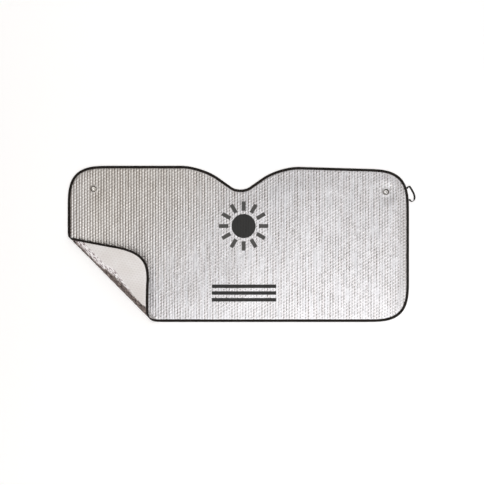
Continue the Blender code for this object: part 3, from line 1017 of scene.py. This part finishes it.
def tape_places(along_share, depth, height):
    """Points of the tape, at a share of the way round the outline."""
    step = np.rint(along_share * TAPE_STEPS).astype(int) % TAPE_STEPS
    reached = step * edge_length / TAPE_STEPS
    wander = TAPE_WANDER * (crumple(reached / 0.045, 0 * reached, 21) - 0.5)
    pucker = TAPE_PUCKER * (crumple(reached / 0.009, 0 * reached, 22) - 0.5)
    deep = depth + wander * (depth / TAPE_WIDTH)
    between = np.sin(math.pi * np.minimum(depth / TAPE_WIDTH, 1))
    high = height + pucker * between * (height > 0.002)
    flat = edge_line[step] + deep[:, None] * edge_inward[step]
    return folded(np.column_stack([flat, high]))


def make_tape():
    bm = strip(len(TAPE_SECTION), TAPE_STEPS)
    shares = points_of(bm)[:, :2]
    section = np.array(TAPE_SECTION)
    turn = np.rint(shares[:, 0] * len(section)).astype(int)
    sides = np.linalg.norm(np.diff(section, axis=0, append=section[:1]), axis=1)
    around = np.concatenate([[0], np.cumsum(sides)])[turn]
    write_uv(bm, np.column_stack([around, shares[:, 1] * edge_length]))
    depth, height = section[turn % len(section)].T
    move_points(bm, tape_places(shares[:, 1], depth, height))
    bmesh.ops.remove_doubles(bm, verts=bm.verts, dist=1e-7)
    bmesh.ops.recalc_face_normals(bm, faces=bm.faces)
    return piece_from(bm, "edge_tape", "shade", tape_finish(), ["edge_binding"])


make_tape()

# %% [markdown]
# ## The stitches
# One seam runs round the tape, 2 mm from its inner edge, and shows on both faces. There are more
# than a thousand stitches, so each is only a small stretched ball of two dozen faces, laid along
# the seam and pressed halfway into the tape.

# %% Stitches
STITCH_PITCH = 0.0042
STITCH_LONG = 0.0034
STITCH_THICK = 0.0006
SEAM_DEPTH = 0.0078
THREAD_TINTS = ((0.006, 0.005, 0.004), (0.024, 0.020, 0.018))


def thread_finish():
    finish = new_finish("black_thread")
    strands = finish.noise(finish.place(), 2600, 1.0)
    tint = finish.blend_colours(strands.ramp(0.3, 0.7), *THREAD_TINTS)
    normal = finish.bump(strands, 0.0002)
    return finish.surface({"Base Color": tint, "Roughness": 0.55, "Normal": normal})


def stitch_blanks(count):
    """So many small stretched balls in one place, and the number of points of each."""
    bm = bmesh.new()
    bmesh.ops.create_uvsphere(bm, u_segments=6, v_segments=4, radius=1)
    ball = len(bm.verts)
    sizes = (STITCH_THICK / 2, 0.2 * STITCH_THICK, STITCH_LONG / 2)
    bmesh.ops.scale(bm, verts=bm.verts, vec=sizes)
    while len(bm.verts) < count * ball:
        bmesh.ops.duplicate(bm, geom=[*bm.verts, *bm.edges, *bm.faces])
    bm.verts.ensure_lookup_table()
    bmesh.ops.delete(bm, geom=bm.verts[count * ball :], context="VERTS")
    return bm, ball


def make_stitches():
    count = int(edge_length / STITCH_PITCH)
    along = np.tile((np.arange(count) + 0.5) / count, 2)
    depth = np.full(2 * count, SEAM_DEPTH)
    high = np.repeat((TAPE_TOP + 0.0001, 0.0), count)
    places = tape_places(along, depth, high)
    ahead = tape_places((along + 1.2 / TAPE_STEPS) % 1, depth, high) - places
    above = tape_places(along, depth, high + 0.001) - places
    ahead /= np.linalg.norm(ahead, axis=1)[:, None]
    above /= np.linalg.norm(above, axis=1)[:, None]
    turns = np.stack([np.cross(above, ahead), above, ahead], axis=1)
    bm, ball = stitch_blanks(2 * count)
    blanks = points_of(bm).reshape(2 * count, ball, 3)
    move_points(bm, (places[:, None] + blanks @ turns).reshape(-1, 3))
    bmesh.ops.recalc_face_normals(bm, faces=bm.faces)
    return piece_from(bm, "edge_stitches", "shade", thread_finish())


make_stitches()

# %% [markdown]
# ## The suction cups
# Each cup is moulded in clear vinyl: a button at the back, a neck through the punched hole, a
# collar on the film and a thin bell. It is turned on a lathe in effect, so half of its section is
# drawn and spun round. The vinyl is glassy but soft, with a slightly cloudy skin. A dark rim is
# painted on the bell beyond its middle, for the dark surroundings seen through the lip, so the radius
# is kept as a UV.

# %% Suction cups
CUP_STEPS = 72
VINYL_CLEAR_AND_PAINTED_RIM = ((0.98, 0.98, 0.96), (0.22, 0.20, 0.185))  # of the clear middle, and of the painted dark rim at the lip
PAINTED_RIM_RADII = (0.0070, 0.0084)  # the radii between which the one turns into the other
CUP_SECTION = (  # radius and height in millimetres, from the button to the bottom of the bowl
    (0.0, 0.3), (6.2, 0.3), (6.8, 0.6), (7.0, 1.0), (6.8, 1.5), (6.2, 1.9), (2.7, 1.95),
    (2.7, 3.45), (4.9, 3.5), (5.4, 3.8), (5.5, 4.2), (5.2, 4.7), (4.6, 5.0), (3.5, 5.1),
    (3.4, 5.9), (4.2, 6.3), (6.0, 6.8), (7.6, 7.4), (8.9, 8.2), (10.0, 9.2), (10.8, 10.3),
    (11.4, 11.4), (11.7, 12.1), (11.6, 12.45), (11.2, 12.5), (10.6, 12.1), (9.9, 11.2),
    (8.8, 10.2), (7.2, 9.3), (5.2, 8.6), (3.0, 8.2), (1.2, 8.1), (0.0, 8.1),
)


def vinyl_finish():
    finish = new_finish("clear_vinyl")
    skin = finish.noise(finish.place(), 900, 2.0)
    radius, _, _ = finish.split(finish.flat_place())
    return finish.surface(
        {
            # painted dark rim on the bell beyond its middle
            "Base Color": finish.blend_colours(radius.ramp(*PAINTED_RIM_RADII), *VINYL_CLEAR_AND_PAINTED_RIM),
            "Roughness": skin * 0.10 + 0.06,
            "Transmission Weight": 0.92,
            "IOR": 1.46,
            "Normal": finish.bump(skin, 0.00015),
        }
    )


def make_cup(name, body, node, place, made):
    bm = bmesh.new()
    verts = [bm.verts.new((radius / 1000, 0, height / 1000)) for radius, height in CUP_SECTION]
    edges = [bm.edges.new(pair) for pair in zip(verts, verts[1:])]
    axis = {"cent": (0, 0, 0), "axis": (0, 0, 1), "angle": 2 * math.pi}
    bmesh.ops.spin(bm, geom=[*verts, *edges], steps=CUP_STEPS, use_merge=True, **axis)
    bmesh.ops.remove_doubles(bm, verts=bm.verts, dist=1e-6)
    section = points_of(bm)
    write_uv(bm, np.column_stack([np.hypot(section[:, 0], section[:, 1]), section[:, 2]]))
    bmesh.ops.translate(bm, verts=bm.verts, vec=(*place, 0))
    bmesh.ops.recalc_face_normals(bm, faces=bm.faces)
    return piece_from(bm, name, body, made, [node])


vinyl = vinyl_finish()
make_cup("left_cup_moulding", "left_cup", "left_suction_cup", CUP_PLACES[0], vinyl)
make_cup("right_cup_moulding", "right_cup", "right_suction_cup", CUP_PLACES[1], vinyl)

# %% [markdown]
# ## The floor and the light
# The floor is pale and plain. It reads as white to the camera and in reflections, by a little
# light of its own, and still takes the shade's shadow. That light grows far away, where the lamps
# do not reach, so that the floor meets the white background from a low camera too.

# %% Floor
FLOOR_HALF = 12
FLOOR_DROP = 0.0003  # so that the tape's lowest side does not lie in the floor's plane
FLOOR_GLOWS = ((0.16, 0.16, 0.16), (1.0, 1.0, 1.0))  # near the shade and far from it
FLOOR_FADES = (1.2, 4.0)  # between these distances from the middle


def make_floor():
    bm = bmesh.new()
    bmesh.ops.create_grid(bm, x_segments=1, y_segments=1, size=FLOOR_HALF)
    bmesh.ops.translate(bm, verts=bm.verts, vec=(0, 0, -FLOOR_DROP))
    finish = new_finish("studio_floor")
    x, y, _ = finish.split(finish.place())
    far = ((x * x + y * y) ** 0.5).ramp(*FLOOR_FADES)
    glow = finish.blend_colours(far, *FLOOR_GLOWS)
    ray = finish.add("LightPath")
    seen = ray + Number(finish, ray.socket.node.outputs["Is Glossy Ray"])
    seen = seen + Number(finish, ray.socket.node.outputs["Is Transmission Ray"])
    seen = seen.maths("MINIMUM", seen, 1)
    made = finish.surface(
        {
            "Base Color": (0.93, 0.93, 0.93),
            "Roughness": 0.9,
            "Specular IOR Level": 0.0,
            "Emission Color": finish.blend_colours(seen, (0.0, 0.0, 0.0), glow),
            "Emission Strength": 1.0,
        }
    )
    object_from(bm, "studio_floor", made)


make_floor()

# %% [markdown]
# Foil shows what is round it, so the light matters as much as the metal. The world stands in for a
# studio: a sky that grows brighter towards the lower right, darker, warmer walls to the left and
# right, and half as much gloom above and below. Those walls are what draws the dark lines between
# the columns of bubbles. Only the camera itself sees plain white there.

# %% World
LEFT_WALL = (0.24, 0.205, 0.18)
RIGHT_WALL = (0.42, 0.405, 0.39)
SKY_COLOURS = ((0.19, 0.18, 0.17), (1.35, 1.355, 1.365))


def light_world():
    world = bpy.data.worlds.new("studio_world")
    bpy.context.scene.world = world
    finish = Finish(world)
    x, y, _ = finish.split(finish.add("TexCoord"))
    slant = (x * 0.95 - y * 0.37 + 0.515).ramp(0.0, 1.0)
    colour = finish.blend_colours(slant, *SKY_COLOURS)
    colour = finish.blend_colours(abs(y).ramp(0.46, 0.76) * 0.5, colour, LEFT_WALL)
    colour = finish.blend_colours(x.ramp(0.26, 0.48), colour, RIGHT_WALL)
    colour = finish.blend_colours((x * -1).ramp(0.28, 0.58), colour, LEFT_WALL)
    ray = finish.add("LightPath")
    colour = finish.blend_colours(ray, colour, (1.0, 1.0, 1.0))
    background = finish.add("Background", None, {"Color": colour, "Strength": 1.0})
    finish.add("OutputWorld", None, {"Surface": background})


light_world()

# %% [markdown]
# The lamps are soft boxes. Two long strips and two panels show in the foil as broad highlights. The
# fill lights the matt pieces and the floor from above, and is kept out of the foil, where it would
# be a hard bright square.

# %% Soft boxes
SOFT_BOXES = (  # name, place, size, how bright it looks, and whether the foil mirrors it
    ("strip_above", (0.0, 2.2, 1.2), (3.2, 0.9), 1.1, True),
    ("strip_below", (0.0, -2.2, 1.2), (3.2, 0.9), 1.1, True),
    ("panel_right", (1.6, -0.5, 0.5), (1.3, 0.7), 1.2, True),
    ("overhead", (0.45, -0.75, 2.2), (1.9, 1.5), 0.5, True),
    ("fill", (0.0, 0.0, 2.8), (3.0, 3.0), 1.04, False),
)


def soft_box(name, place, size, level, in_foil):
    """A rectangular lamp that faces the middle of the shade."""
    data = bpy.data.lights.new(name, "AREA")
    data.shape = "RECTANGLE"
    data.size, data.size_y = size
    data.energy = level * math.pi * size[0] * size[1]
    lamp = bpy.data.objects.new(name, data)
    lamp.location = place
    lamp.rotation_euler = Vector(place).to_track_quat("Z", "Y").to_euler()
    lamp.visible_camera = False
    lamp.visible_glossy = in_foil
    bpy.context.scene.collection.objects.link(lamp)


for box in SOFT_BOXES:
    soft_box(*box)

bpy.context.scene.view_settings.view_transform = "Standard"
